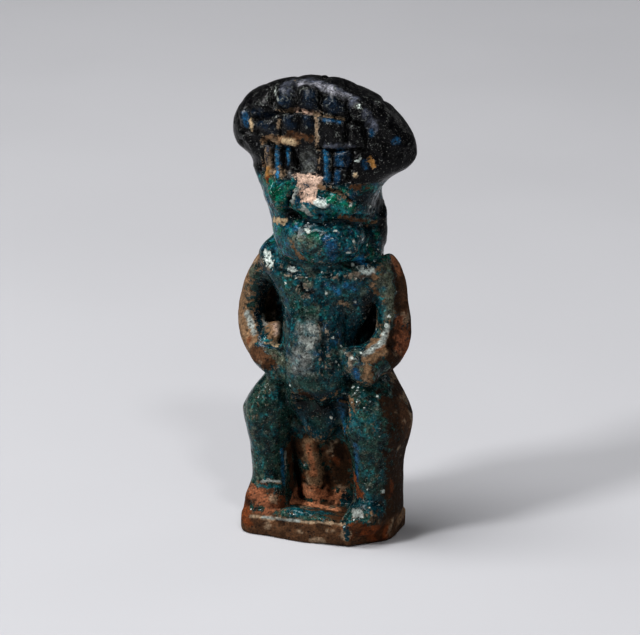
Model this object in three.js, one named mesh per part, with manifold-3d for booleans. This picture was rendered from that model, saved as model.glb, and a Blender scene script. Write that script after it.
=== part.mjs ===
// A small Bes amulet of glazed faience, moulded in one piece and worn: a squat figure with bent
// legs and its hands on its hips, under a broad crown of plumes, standing on a low chipped base.
// X runs to the viewer's right, Y to the back and Z up. The origin is on the underside of the base,
// below the middle of the crown. All sizes are in millimetres.
import * as THREE from "three";
import { mergeVertices } from "three/addons/utils/BufferGeometryUtils.js";
import Module from "manifold-3d";

const wasm = await Module();
wasm.setup();

// Heights above the table.
const BASE_TOP = 1.7;
const INSTEP = 3.9;
const CALF = 6.6;
const APRON_TIP = 7.9;
const KNEE = 10.0;
const HIP = 13.6;
const NAVEL = 15.2;
const ELBOW = 16.3;
const ARMPIT = 20.6;
const SHOULDER = 23.1;
const BEARD_EDGE = 23.2;
const MOUTH = 26.4;
const NOSE = 28.6;
const CROWN_FOOT = 29.7;
const CROWN_RIM = 32.2;
const CROWN_TOP = 37.6;

// Where the main forms end in front and behind, and where the crown's front meets its back.
const BASE_FRONT = -5.0;
const BELLY_FRONT = -5.3;
const FACE_FRONT = -4.3;
const CROWN_FRONT = -3.7;
const CROWN_MIDDLE = -0.6;
const BACK = 2.5;

// Half widths.
const BASE_HALF = 6.3;
const CROWN_HALF = 8.0;
const ELBOW_HALF = 7.5;
const HEAD_HALF = 5.4;
const CHEST_HALF = 3.3;
const LEFT_SPREAD = 4.45;
const RIGHT_SPREAD = 4.65;
const LEFT_THIGH = 2.15;
const RIGHT_THIGH = 2.75;

// The legs and base are set a little to the right of the head.
const LEAN = 0.4;

// Carving.
const FEATHER_PITCH = 2.0;
const GROOVE_WIDTH = 0.34;
const GROOVE_DEPTH = 0.42;

const GLAZE = new THREE.MeshStandardMaterial({ color: 0x1d5a5c, roughness: 0.35, metalness: 0 });
const FRONT = new THREE.Vector3(0, -1, 0);

// Solids from closed geometries, and back.

function solidOf(geometry) {
  geometry.deleteAttribute("normal");
  geometry.deleteAttribute("uv");
  const merged = mergeVertices(geometry);
  return new wasm.Manifold(
    new wasm.Mesh({
      numProp: 3,
      vertProperties: merged.getAttribute("position").array,
      triVerts: new Uint32Array(merged.index.array),
    }),
  );
}

function geometryOf(solid) {
  const { vertProperties, triVerts } = solid.getMesh();
  const geometry = new THREE.BufferGeometry();
  geometry.setAttribute("position", new THREE.BufferAttribute(vertProperties, 3));
  geometry.setIndex(new THREE.BufferAttribute(triVerts, 1));
  geometry.computeVertexNormals();
  return geometry;
}

const join = (solids) => solids.reduce((whole, solid) => whole.add(solid));

// Lofts: a closed cylinder whose points are carried onto a row of rings.

function wrap(sides, steps, place) {
  const geometry = new THREE.CylinderGeometry(1, 1, 1, sides, steps);
  const position = geometry.getAttribute("position");
  for (let i = 0; i < position.count; i++) {
    const along = position.getY(i) + 0.5;
    const point = place(along, position.getX(i), position.getZ(i));
    position.setXYZ(i, point.x, point.y, point.z);
  }
  return solidOf(geometry);
}

const ring = (z, x, half, front, back) => ({ z, x, half, front, back });

const squared = (value, power) => Math.sign(value) * Math.abs(value) ** (2 / power);

// Level rings, listed from the bottom up. A higher power makes them squarer, and inset shrinks them.
function stack(rings, { sides = 18, steps = 10, power = 2.2, inset = 0 } = {}) {
  const middle = (r) => new THREE.Vector3(r.x, (r.front + r.back) / 2, r.z);
  const reach = (r) => new THREE.Vector3(r.half - inset, (r.back - r.front) / 2 - inset, 0);
  const middles = new THREE.CatmullRomCurve3(rings.map(middle));
  const reaches = new THREE.CatmullRomCurve3(rings.map(reach));
  return wrap(sides, steps, (along, across, ahead) => {
    const point = middles.getPoint(along);
    const size = reaches.getPoint(along);
    point.x += size.x * squared(across, power);
    point.y -= size.y * squared(ahead, power);
    return point;
  });
}

// Round rings square to a path. Deep stretches them towards the front.
function limb(points, radii, { sides = 16, steps = 14, deep = 1 } = {}) {
  const path = new THREE.CatmullRomCurve3(points.map((p) => new THREE.Vector3(...p)));
  const girth = new THREE.CatmullRomCurve3(radii.map((r, i) => new THREE.Vector3(r, i, 0)));
  return wrap(sides, steps, (along, across, ahead) => {
    const tangent = path.getTangent(along);
    const side = tangent.clone().cross(FRONT).normalize();
    const front = side.clone().cross(tangent);
    const radius = girth.getPoint(along).x;
    return path
      .getPoint(along)
      .addScaledVector(side, across * radius)
      .addScaledVector(front, ahead * radius * deep);
  });
}

function blob(x, y, z, rx, ry, rz, turn = 0) {
  const geometry = new THREE.SphereGeometry(1, 12, 8);
  geometry.rotateX(Math.PI / 2).scale(rx, ry, rz).rotateY(turn).translate(x, y, z);
  return solidOf(geometry);
}

// An outline in plan, raised from one height to another.
function slab(points, low, high, bevel = 0) {
  const shape = new THREE.Shape(points.map(([x, y]) => new THREE.Vector2(x, y)));
  const geometry = new THREE.ExtrudeGeometry(shape, {
    depth: high - low - 2 * bevel,
    bevelEnabled: bevel > 0,
    bevelSize: bevel,
    bevelThickness: bevel,
    bevelOffset: -bevel,
    bevelSegments: 2,
  });
  return solidOf(geometry.translate(0, 0, low + bevel));
}

// An outline seen from the front, cut or raised between two depths.
function panel(points, front, back) {
  const shape = new THREE.Shape(points.map(([x, z]) => new THREE.Vector2(x, z)));
  const geometry = new THREE.ExtrudeGeometry(shape, { depth: back - front, bevelEnabled: false });
  return solidOf(geometry.rotateX(Math.PI / 2).translate(0, back, 0));
}

// An outline seen from the side, drawn out between two widths.
function profile(points, left, right) {
  const shape = new THREE.Shape(points.map(([y, z]) => new THREE.Vector2(y, z)));
  const geometry = new THREE.ExtrudeGeometry(shape, { depth: right - left, bevelEnabled: false });
  return solidOf(geometry.rotateX(Math.PI / 2).rotateZ(Math.PI / 2).translate(left, 0, 0));
}

// The base, with its front right corner broken off at a slant and the left one worn round.

function base() {
  const left = LEAN - BASE_HALF;
  const right = LEAN + BASE_HALF;
  const breakSize = 2.6;
  const wear = 1.1;
  return slab(
    [
      [left, BACK - 0.5],
      [left - 0.1, BASE_FRONT + 1.9],
      [left + 0.4, BASE_FRONT + wear / 2],
      [left + wear, BASE_FRONT + 0.1],
      [LEAN, BASE_FRONT - 0.25],
      [right - breakSize, BASE_FRONT],
      [right - 0.3, BASE_FRONT + breakSize],
      [right, BASE_FRONT + breakSize + 1],
      [right - 0.1, BACK - 0.9],
      [right - 0.6, BACK - 0.4],
    ],
    0,
    BASE_TOP,
    0.22,
  );
}

// Legs bent at the knee. Their backs run into the tail and the back of the base.

function leg(side, spread, thigh) {
  const x = LEAN + side * spread;
  const shin = 0.5 + thigh / 2;
  return stack(
    [
      ring(1.0, x, shin, -3.3, BACK - 0.6),
      ring(INSTEP, x, shin - 0.1, -3.4, BACK - 0.5),
      ring(CALF, x, shin, -3.6, BACK - 0.4),
      ring(KNEE - 1.6, x, thigh - 0.3, -4.1, BACK - 0.2),
      ring(KNEE, x, thigh, -4.5, BACK),
      ring(KNEE + 1.7, x - side * 0.35, thigh - 0.5, -4.2, BACK),
      ring(HIP, x - side * 0.9, thigh - 1.3, -2.6, BACK - 0.3),
      ring(HIP + 1.2, x - side * 1.0, 0.6, -0.8, BACK - 1.2),
    ],
    { sides: 18, steps: 12 },
  );
}

function rightFoot() {
  const x = LEAN + RIGHT_SPREAD;
  const instep = blob(x - 0.1, -2.9, BASE_TOP + 0.5, 1.65, 1.9, 1.6);
  const toes = blob(x - 0.4, -3.8, BASE_TOP + 0.1, 1.6, 1.2, 0.95);
  return join([instep, toes]);
}

// The left foot is lost: a slanting break runs from the shin down to the front of the base.
function leftFootStump() {
  const middle = LEAN - LEFT_SPREAD;
  const half = 1.6;
  return stack(
    [
      ring(0.8, middle, half, BASE_FRONT + 0.15, 0),
      ring(BASE_TOP, middle, half, BASE_FRONT + 0.3, 0),
      ring(INSTEP, middle + 0.1, half - 0.15, -3.3, 0),
      ring(INSTEP + 0.3, middle + 0.1, half - 0.4, -2.9, 0),
    ],
    { steps: 6, power: 3.5 },
  );
}

// Between the legs: a back wall with the tail as a round roll on it.

function tail() {
  const wall = profile(
    [
      [BACK - 0.6, BASE_TOP - 1],
      [0.4, BASE_TOP - 1],
      [-0.2, CALF - 2],
      [-1.6, KNEE],
      [BACK - 0.6, KNEE],
    ],
    LEAN - 4,
    LEAN + 4,
  );
  const slit = limb(
    [
      [LEAN - 2.9, -1.5, KNEE],
      [LEAN - 2.75, -0.4, CALF - 2],
      [LEAN - 2.6, 0.4, BASE_TOP],
    ],
    [0.3, 0.3, 0.3],
    { sides: 8, steps: 4, deep: 3 },
  );
  const roll = limb(
    [
      [LEAN - 1.9, -1.2, KNEE - 0.5],
      [LEAN - 1.5, -0.3, CALF - 1],
      [LEAN - 1.2, 0.3, BASE_TOP - 0.4],
    ],
    [0.8, 1.0, 1.0],
    { sides: 12, steps: 5 },
  );
  return wall.add(roll).subtract(slit);
}

// The low rim left along the front of the base between the feet.
function baseRim() {
  return limb(
    [
      [LEAN - 3.3, BASE_FRONT + 0.7, BASE_TOP - 0.1],
      [LEAN - 1.2, BASE_FRONT + 0.65, BASE_TOP + 0.2],
      [LEAN + 2.2, BASE_FRONT + 0.6, BASE_TOP - 0.1],
    ],
    [0.4, 0.75, 0.45],
    { sides: 10, steps: 8 },
  );
}

// The flat back of the mould, which closes the gaps between the arms and the body.
function broadBack() {
  const front = BACK - 1.5;
  return stack(
    [
      ring(HIP - 1.0, LEAN, 4.2, front, BACK - 0.4),
      ring(ELBOW - 0.4, 0, 6.4, front, BACK - 0.2),
      ring(ARMPIT - 1, 0, 6.2, front, BACK - 0.1),
      ring(SHOULDER - 1.2, 0, 5.2, front, BACK - 0.2),
      ring(SHOULDER + 0.4, 0, 3.8, front, BACK - 0.5),
    ],
    { steps: 8, power: 3 },
  );
}

// The trunk: a chest that runs out to the right armpit, a belly that runs down into the apron's
// tip, and the seat behind.

function trunk() {
  const x = LEAN - 0.1;
  const chest = stack([
    ring(APRON_TIP + 1.2, x, 2.2, -2.6, BACK - 0.4),
    ring(HIP - 1.6, x, 3.9, -3.4, BACK),
    ring(NAVEL, x, 3.4, -3.9, BACK - 0.1),
    ring(ELBOW + 2.2, x - 0.1, CHEST_HALF - 0.2, -3.8, BACK - 0.2),
    ring(ARMPIT, x - 0.2, CHEST_HALF + 0.4, -4.0, BACK - 0.3),
    ring(SHOULDER - 0.6, x - 0.4, CHEST_HALF + 1.9, -3.6, BACK - 0.4),
    ring(SHOULDER + 0.8, x - 0.4, CHEST_HALF + 1.3, -2.8, BACK - 0.5),
  ]);
  const flank = limb(
    [
      [4.0, -0.8, ARMPIT + 0.8],
      [3.2, -1.0, ARMPIT - 1.6],
      [2.2, -1.4, ELBOW + 0.4],
    ],
    [1.4, 1.1, 0.8],
    { sides: 12, steps: 6 },
  );
  const belly = stack([
    ring(APRON_TIP, LEAN + 0.2, 0.5, -3.1, -1.2),
    ring(APRON_TIP + 1.6, LEAN + 0.1, 1.6, -3.6, 0),
    ring(HIP - 2.3, LEAN + 0.1, 2.3, -4.3, 0),
    ring(HIP - 1.0, LEAN + 0.1, 2.6, -4.9, 0),
    ring(NAVEL - 0.2, LEAN + 0.1, 2.6, BELLY_FRONT, 0),
    ring(ELBOW + 1.0, LEAN, 2.5, -4.9, 0),
    ring(ARMPIT - 1.0, LEAN - 0.1, 2.7, -4.1, 0),
  ]);
  const seat = [-1, 1].map((side) => blob(LEAN + side * 2.3, BACK - 1.6, HIP - 1.9, 2.9, 1.9, 3.2));
  return join([chest, flank, belly, broadBack(), ...seat]);
}

// Arms: the left hand lies low on the hip, the right one higher on the belly.

function rightArm() {
  const elbow = ELBOW_HALF - 1.4;
  const arm = limb(
    [
      [4.3, 0.2, SHOULDER - 0.9],
      [5.1, 0.2, SHOULDER - 1.6],
      [elbow - 0.15, 0.1, ARMPIT - 1.6],
      [elbow - 0.2, -0.3, ELBOW],
      [elbow - 0.9, -1.9, ELBOW - 1.0],
      [3.2, -3.8, ELBOW - 1.0],
    ],
    [1.7, 1.55, 1.25, 1.45, 1.4, 1.05],
    { deep: 1.2, sides: 14, steps: 15 },
  );
  const fist = blob(4.8, -3.3, ELBOW - 1.8, 1.3, 1.1, 1.15);
  return join([arm, fist]);
}

function leftArm() {
  const elbow = 1.1 - ELBOW_HALF;
  const arm = limb(
    [
      [-3.7, 0.2, SHOULDER - 1.1],
      [-4.9, 0.2, SHOULDER - 1.9],
      [elbow + 0.15, 0.1, ARMPIT - 1.8],
      [elbow + 0.25, -0.3, ELBOW + 0.4],
      [elbow + 2.0, -1.9, HIP + 1.4],
      [-2.7, -3.4, HIP + 0.6],
    ],
    [1.4, 1.3, 1.05, 1.1, 1.2, 1.0],
    { deep: 1.3, sides: 14, steps: 15 },
  );
  const fist = blob(-2.8, -3.1, HIP + 0.2, 0.95, 1.0, 1.1);
  return join([arm, fist]);
}

// The head: a worn, broad face over a beard, with the mane squared off behind it.

function head() {
  const face = stack(
    [
      ring(BEARD_EDGE - 0.7, LEAN, 1.9, -3.3, 1),
      ring(BEARD_EDGE + 0.2, LEAN, 3.1, -4.2, 1),
      ring(BEARD_EDGE + 1.6, LEAN, 3.7, -4.6, 1),
      ring(MOUTH, LEAN, 4.0, FACE_FRONT, 1.2),
      ring(NOSE - 0.6, LEAN - 0.1, HEAD_HALF - 0.9, FACE_FRONT, 1.4),
      ring(CROWN_FOOT + 0.6, 0, HEAD_HALF, FACE_FRONT + 0.2, 1.4),
    ],
    { steps: 11 },
  );
  const mane = stack(
    [
      ring(SHOULDER - 1.2, 0.1, 4.1, -0.4, BACK - 0.4),
      ring(SHOULDER + 0.8, 0.2, 4.6, -0.9, BACK + 0.1),
      ring(MOUTH, 0.1, 4.65, -0.9, BACK + 0.2),
      ring(NOSE, -0.35, 4.7, -0.9, BACK + 0.2),
      ring(CROWN_FOOT + 0.8, -0.3, 5.1, -0.9, BACK + 0.2),
    ],
    { power: 3, steps: 8 },
  );
  return join([face, mane]);
}

// A groove across the face for the mouth, and the scar where the nose broke away.
function faceCuts() {
  const mouth = limb(
    [
      [-4.6, -2.6, MOUTH + 0.5],
      [-2.6, -4.1, MOUTH + 0.2],
      [0.4, -4.75, MOUTH - 0.1],
      [3.2, -4.0, MOUTH + 0.1],
      [5.0, -2.4, MOUTH + 0.4],
    ],
    [0.25, 0.36, 0.4, 0.36, 0.25],
    { sides: 8, steps: 12 },
  );
  const scar = blob(0.1, FACE_FRONT - 1.4, NOSE + 0.9, 1.9, 1.9, 2.1);
  return join([mouth, scar]);
}

// The crown: a fan of plumes, broadest at its rim and rounded over the top.

function crownBody(inset) {
  const half = CROWN_HALF;
  return stack(
    [
      ring(CROWN_FOOT - 0.6 + inset, 0, 4.9, CROWN_FRONT, BACK - 0.3),
      ring(CROWN_FOOT + 0.7, 0.35, half - 2.25, CROWN_FRONT - 0.2, BACK),
      ring(CROWN_RIM - 1.0, 0.75, half - 1.25, CROWN_FRONT, BACK + 0.2),
      ring(CROWN_RIM, 0.2, half - 0.25, CROWN_FRONT + 0.1, BACK + 0.3),
      ring(CROWN_RIM + 1.5, -0.05, half - 0.5, CROWN_FRONT + 0.2, BACK + 0.3),
      ring(CROWN_RIM + 3.0, -0.25, half - 1.6, CROWN_FRONT + 0.2, BACK + 0.2),
      ring(CROWN_TOP - 1.3, -0.4, half - 2.85, CROWN_FRONT + 0.6, BACK - 0.1),
      ring(CROWN_TOP - 0.5, -0.5, half - 4.8, CROWN_FRONT + 1.5, BACK - 0.8),
      ring(CROWN_TOP - inset, -0.3, half - 6.4, CROWN_FRONT + 2.9, BACK - 1.8),
    ],
    { sides: 32, steps: 12, power: 2.1, inset },
  );
}

const frontPanel = (points) => panel(points, CROWN_FRONT - 1.5, CROWN_MIDDLE);
const backPanel = (points) => panel(points, CROWN_MIDDLE, BACK + 1.5);

function upright(x, low, high) {
  const left = x - GROOVE_WIDTH / 2;
  const right = x + GROOVE_WIDTH / 2;
  return [
    [left, low],
    [right, low],
    [right, high],
    [left, high],
  ];
}

// A band that sinks to both sides from its highest point above the origin.
function archedBand(height, sag, left, right) {
  const count = 8;
  const low = [];
  const high = [];
  for (let i = 0; i <= count; i++) {
    const x = left + ((right - left) * i) / count;
    const z = height - sag * x * x;
    low.push([x, z - GROOVE_WIDTH / 2]);
    high.unshift([x, z + GROOVE_WIDTH / 2]);
  }
  return [...low, ...high];
}

// Three tiers of plumes in front, parted by two bands, and single long plumes behind.
function crownGrooves() {
  const upper = CROWN_TOP - 1.95;
  const lower = CROWN_FOOT + 3.0;
  const front = [archedBand(upper, 0.045, -6.6, 3.8), archedBand(lower, 0.01, -6.6, 4.6)];
  const back = [];
  for (let i = -2; i <= 2; i++) {
    const x = i * FEATHER_PITCH - 1.2;
    const sunk = upper - 0.12 * i * i;
    front.push(upright(x, sunk, CROWN_TOP + 1));
    front.push(upright(x + FEATHER_PITCH / 2 + 0.8, lower, sunk));
    back.push(upright(i * 1.2 * FEATHER_PITCH, CROWN_FOOT + 1, CROWN_TOP + 1));
  }
  for (let i = -4; i <= 4; i++) {
    front.push(upright(i * FEATHER_PITCH * 0.55 + 0.3, CROWN_FOOT - 1.5, lower - 0.05 * i * i));
  }
  const blades = [...front.map(frontPanel), ...back.map(backPanel)];
  return join(blades).subtract(crownBody(GROOVE_DEPTH));
}

// The plume lost from the front of the lowest tier.
function crownBreak() {
  const left = -1.1;
  const right = 1.25;
  return panel(
    [
      [left, CROWN_FOOT - 0.3],
      [right, CROWN_FOOT - 1.0],
      [right, CROWN_FOOT + 2.6],
      [left + 0.9, CROWN_FOOT + 2.7],
      [left + 0.2, CROWN_FOOT + 1.5],
    ],
    CROWN_FRONT - 1.5,
    CROWN_FRONT + 0.55,
  );
}

function crown() {
  return crownBody(0).subtract(crownGrooves()).subtract(crownBreak());
}

// The whole figure, one moulded piece.

function figure() {
  const legs = [leg(-1, LEFT_SPREAD, LEFT_THIGH), leg(1, RIGHT_SPREAD, RIGHT_THIGH)];
  const lower = [base(), ...legs, rightFoot(), leftFootStump(), tail(), baseRim()];
  const upper = [trunk(), leftArm(), rightArm(), crown()];
  const face = head().subtract(faceCuts());
  return join([...lower, ...upper, face]);
}

const amulet = new THREE.Mesh(geometryOf(figure()), GLAZE);
amulet.name = "amulet_figure";

const group = new THREE.Group();
group.add(amulet);

export default group;
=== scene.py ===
import itertools
import math

import bmesh
import bpy
import numpy as np
from mathutils import Matrix, Vector
from mathutils.bvhtree import BVHTree
from mathutils.kdtree import KDTree


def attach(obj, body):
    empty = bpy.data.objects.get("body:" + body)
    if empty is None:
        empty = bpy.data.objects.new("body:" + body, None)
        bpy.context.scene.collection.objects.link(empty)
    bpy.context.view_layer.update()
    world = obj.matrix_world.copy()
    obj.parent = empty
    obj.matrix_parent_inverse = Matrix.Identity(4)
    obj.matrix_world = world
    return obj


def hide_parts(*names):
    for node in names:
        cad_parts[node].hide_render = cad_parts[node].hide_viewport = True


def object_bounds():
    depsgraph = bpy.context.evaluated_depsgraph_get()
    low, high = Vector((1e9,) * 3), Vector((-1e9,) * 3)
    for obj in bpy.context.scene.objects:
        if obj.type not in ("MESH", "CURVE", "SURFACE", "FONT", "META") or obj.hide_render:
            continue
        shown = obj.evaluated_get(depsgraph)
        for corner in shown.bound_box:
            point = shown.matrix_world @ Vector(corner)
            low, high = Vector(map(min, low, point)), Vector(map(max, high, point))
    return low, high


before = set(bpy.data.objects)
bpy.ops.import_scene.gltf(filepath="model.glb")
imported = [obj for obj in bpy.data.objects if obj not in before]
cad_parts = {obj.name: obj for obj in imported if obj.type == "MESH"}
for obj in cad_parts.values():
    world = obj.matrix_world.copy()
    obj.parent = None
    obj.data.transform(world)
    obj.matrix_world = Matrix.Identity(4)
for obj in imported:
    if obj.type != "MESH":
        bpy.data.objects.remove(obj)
CAD_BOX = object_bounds()
NODE = "amulet_figure"

# Lengths on the piece are in millimetres until the mesh is done, and then in metres.
MM_PER_M = 1000.0

# The photograph's camera: degrees, millimetres and pixels.
AZIMUTH = 22.0
ELEVATION = 17.0
DISTANCE = 300.0
PIXELS_PER_MM = 12.35
LOOK_AT = np.array((-0.3, -0.1, 17.6))
IMAGE_WIDTH = 640
IMAGE_HEIGHT = 635
SENSOR = 36.0
NEAREST_METRES = 0.01

# Random values: factors that scramble a cell's numbers, and the sizes and shares of rough noise's layers.
CELL_FACTORS = np.array((73856093, 19349663, 83492791))
SEED_FACTOR = 2654435761
SCRAMBLE = ((15, 2246822519), (13, 3266489917))
LAST_SHIFT = 16
LONG_BITS = 0xFFFFFFFF
SHORT_BITS = 0xFFFF
NOISE_LAYERS = ((1.0, 0.55), (0.47, 0.3), (0.21, 0.15))

# The mesh: rounds and weights of softening, and what is put back on. The base keeps its edges.
VOXEL = 0.16
FACET_ROUNDS = 3
FACET_WEIGHT = 0.5
SOFTENING_ROUNDS = 9
HEAD_ROUNDS = 16
SOFTENING_WEIGHT = 0.6
BODY_SWELL = 0.08
HEAD_SWELL = 0.17
SWELL_BORDER = 1.5
BASE_HEIGHT = 2.0
BASE_BORDER = 0.5
HEAD_BORDER = 1.0
UNDERSIDE = 0.06
BOX_BAND = 1.5

# Wear: uneven heights are height, size and seed of the noise. Most pits are near the smallest size.
SEED = 41
BROAD_UNEVEN = (0.08, 1.5, 3)
ROUGH_UNEVEN = (0.03, 0.9, 9)
FINE_UNEVEN = (0.006, 0.3, 15)
FACE_UNEVEN = (0.16, 1.0, 37)
FACE_BORDER = 0.5
CHIP_EDGE = (1.2, 0.9)
CHIP_UNEVEN = 0.08
CAVITY_ROUNDS = 7
PIT_COUNT = 1500
PIT_SMALLEST = 0.12
PIT_LARGEST = 0.34
PIT_RARITY = 3
PIT_DEPTH = 0.32

# Heights on the figure, and distances from its middle, where one zone of colour gives way to the next.
BASE_TOP = 1.9
HIP_HEIGHT = 13.8
SHOULDER_HEIGHT = 23.0
CROWN_FOOT = 29.9
FACE_LOW = 26.2
ARM_SIDE = 4.7
OUTER_SIDE = 4.0

# Half the width of those borders, size and seed of the noise that moves them, and how far it does.
HEAD_EDGE = 0.3
HIP_EDGE = 0.5
BASE_EDGE = 0.2
ARM_EDGE = 0.4
OUTER_EDGE = 0.5
BROAD_NOISE = (2.2, 21)
FINE_NOISE = (0.7, 27)
FRONT_RAGGED = 0.4
BACK_RAGGED = 1.2
BACK_GRAIN = 0.5
BASE_RAGGED = 0.8
BASE_GRAIN = 0.15
ARM_GRAIN = 0.2
SIDE_RAGGED = 0.3

# Where a normal counts as facing back or sideways, where noise wears the back, and what is spared there.
FACING_BACK = (0.2, 0.8)
FACING_SIDE = (0.5, 0.85)
BACK_WEAR = (0.12, 0.35)
CROWN_SPARED = 0.6
ARM_SPARED = 0.7

# Glaze colours, as 8-bit sRGB. 'shadow' is near-black laid mostly as painted shade, 'sheen' is a painted
# highlight, and 'slate' is grey glaze that is also laid as painted sheen.
GLAZES = {
    "black": (8, 8, 10),
    "shadow": (3, 4, 5),
    "navy": (13, 27, 41),
    "slate": (62, 65, 74),
    "sheen": (112, 112, 118),
    "blue": (22, 64, 92),
    "bright blue": (28, 88, 120),
    "emerald": (8, 76, 58),
    "teal": (16, 70, 76),
    "bright teal": (34, 110, 112),
    "deep teal": (8, 44, 52),
    "petrol": (5, 27, 34),
    "moss": (29, 54, 48),
    "grey green": (74, 78, 66),
    "ash": (98, 101, 98),
}

# Colours of the body under the glaze and of what lies on it, each with its gloss from 0 to 1. 'pale' and
# 'frost' are white chips and grit, and are also laid as painted highlights.
BODIES = {
    "pale": ((196, 206, 200), 0.9),
    "frost": ((134, 139, 134), 0.7),
    "cream": ((166, 146, 118), 0.2),
    "sand": ((140, 121, 100), 0.1),
    "tan": ((122, 97, 73), 0.2),
    "pink": ((196, 168, 150), 0.2),
    "brown": ((80, 55, 36), 0.2),
    "umber": ((48, 30, 15), 0.25),
    "rust": ((104, 56, 28), 0.1),
    "ochre": ((144, 106, 60), 0.1),
    "orange": ((152, 102, 72), 0.1),
    "sienna": ((126, 80, 56), 0.1),
    "peach": ((200, 138, 102), 0.1),
}

# Carving: name, height in millimetres (negative cuts in), radius, and lines through the photo's pixels.
RELIEF = [
    ("left recess lump", 1.0, 1.0, [(271, 318), (272, 338)]),
    ("bulge of the top edge", 0.16, 0.55, [(326, 75)]),
    ("bulge of the right edge", 0.24, 0.7, [(380, 104)]),
    ("left pad", 0.3, 0.85, [(258, 104), (263, 108)]),
    ("first pad", 0.42, 0.95, [(283, 92), (284, 100)]),
    ("second pad", 0.45, 1.0, [(308, 88), (308, 98)]),
    ("third pad", 0.45, 1.05, [(333, 90), (333, 102)]),
    ("right pad", 0.3, 0.85, [(358, 106), (364, 116)]),
    ("groove left of the first pad", -0.39, 0.16, [(272, 86), (271, 96), (274, 107)]),
    ("groove right of the first pad", -0.51, 0.16, [(295, 79), (296, 108)]),
    ("grooves beside the third pad", -0.51, 0.19, [(321, 92), (320, 112)], [(347, 98), (347, 116)]),
    ("steps under the pads", -0.51, 0.2,
        [(252, 119), (275, 113), (296, 110)], [(296, 110), (320, 114), (346, 119), (360, 124)]),
    ("left blocks of the second tier", 0.3, 0.55,
        [(260, 126), (270, 126)], [(288, 119), (289, 126)], [(306, 120), (307, 127)]),
    ("second tier fourth block", 0.3, 0.75, [(331, 126), (337, 136)]),
    ("second tier fifth block", 0.27, 0.65, [(354, 131), (358, 138)]),
    ("grooves of the left blocks", -0.36, 0.14, [(279, 116), (280, 136)], [(297, 115), (298, 134)]),
    ("groove between the right blocks", -0.33, 0.16, [(346, 122), (346, 146)]),
    ("groove right of the blocks", -0.27, 0.16, [(363, 126), (366, 148)]),
    ("sandy lump", 0.36, 0.5, [(285, 141), (294, 143)]),
    ("ledge over the third tier", 0.24, 0.32, [(325, 146), (354, 147)]),
    ("lumps of the left end", 0.24, 0.5, [(242, 112), (244, 120)], [(246, 138), (252, 144)]),
    ("left end furrow", -0.3, 0.18, [(240, 128), (256, 133)]),
    ("left end upper furrow", -0.24, 0.18, [(246, 106), (256, 112), (262, 118)]),
    ("step under the left blocks", -0.33, 0.18, [(258, 138), (276, 147), (290, 149)]),
    ("step under the right blocks", -0.3, 0.18, [(318, 149), (345, 149), (368, 151)]),
    ("first strip groove", -0.3, 0.14, [(262, 150), (264, 170)]),
    ("grooves of the left strips", -0.36, 0.15, [(272, 148), (272, 177)], [(283, 149), (283, 174)]),
    ("broken plume", -0.18, 0.75, [(307, 156), (309, 166)]),
    ("broken plume left wall", -0.51, 0.24, [(292, 150), (298, 165)]),
    ("fourth strip groove", -0.41, 0.16, [(332, 149), (331, 182)]),
    ("fifth strip groove", -0.36, 0.16, [(353, 150), (348, 181)]),
    ("groove across the strips", -0.3, 0.14, [(332, 168), (352, 169)]),
    ("lumps on the third tier", 0.27, 0.32, [(357, 160), (362, 156)]),
    ("lower lump on the third tier", 0.27, 0.28, [(355, 175)]),
    ("left cheek", 0.6, 0.9, [(274, 190), (280, 203)]),
    ("nose stub", 0.36, 0.55, [(297, 190), (294, 200)]),
    ("white lump", 0.45, 0.5, [(316, 202), (326, 205)]),
    ("right cheek", 0.5, 0.85, [(336, 203), (350, 208)]),
    ("diagonal groove", -0.5, 0.2, [(292, 192), (286, 206)]),
    ("cheek furrow", -0.45, 0.2, [(328, 190), (340, 193), (350, 201)]),
    ("mouth hollow", -0.45, 0.5, [(288, 213), (296, 219)]),
    ("valley under the cheeks", -0.45, 0.95, [(286, 217), (306, 221), (332, 224), (358, 222), (374, 226)]),
    ("band under the cheeks", -0.12, 0.3, [(304, 221), (326, 226), (344, 222)]),
    ("beard", 0.35, 1.3, [(298, 242), (320, 246), (350, 244)]),
    ("valley under the beard", -0.3, 0.8, [(288, 263), (320, 269), (352, 267), (374, 261)]),
    ("moustache ledge", 0.4, 0.3, [(340, 217), (352, 219), (376, 222)]),
    ("beard first lump", 0.25, 0.8, [(300, 240), (306, 246)]),
    ("beard second lump", 0.25, 0.75, [(330, 238), (336, 246)]),
    ("beard third lump", 0.22, 0.65, [(352, 248), (356, 254)]),
    ("mane edge", 0.1, 0.6, [(384, 210), (386, 240)]),
    ("edge of the beard", -0.28, 0.22, [(288, 260), (320, 267), (352, 265), (372, 258)]),
    ("collar line", -0.18, 0.18, [(281, 271), (300, 274), (318, 273)]),
    ("breast disc", 0.27, 0.5, [(308, 285)]),
    ("breast disc rim", -0.27, 0.22, [(300, 284), (302, 291), (309, 294)]),
    ("belly groove", -0.18, 0.2, [(322, 325), (325, 345), (322, 372)]),
    ("ankle glaze edge", 0.12, 0.22, [(259, 481), (280, 482)]),
    ("loin", -0.85, 2.1, [(308, 412), (322, 422), (334, 412)]),
    ("roll", 0.35, 1.0, [(314, 446), (318, 482)]),
    ("knee furrow", -0.18, 0.22, [(345, 398), (352, 415)]),
    ("base front chip", -0.16, 0.3, [(270, 520), (282, 524)]),
    ("second base front chip", -0.14, 0.26, [(322, 525), (331, 528)]),
]

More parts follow.
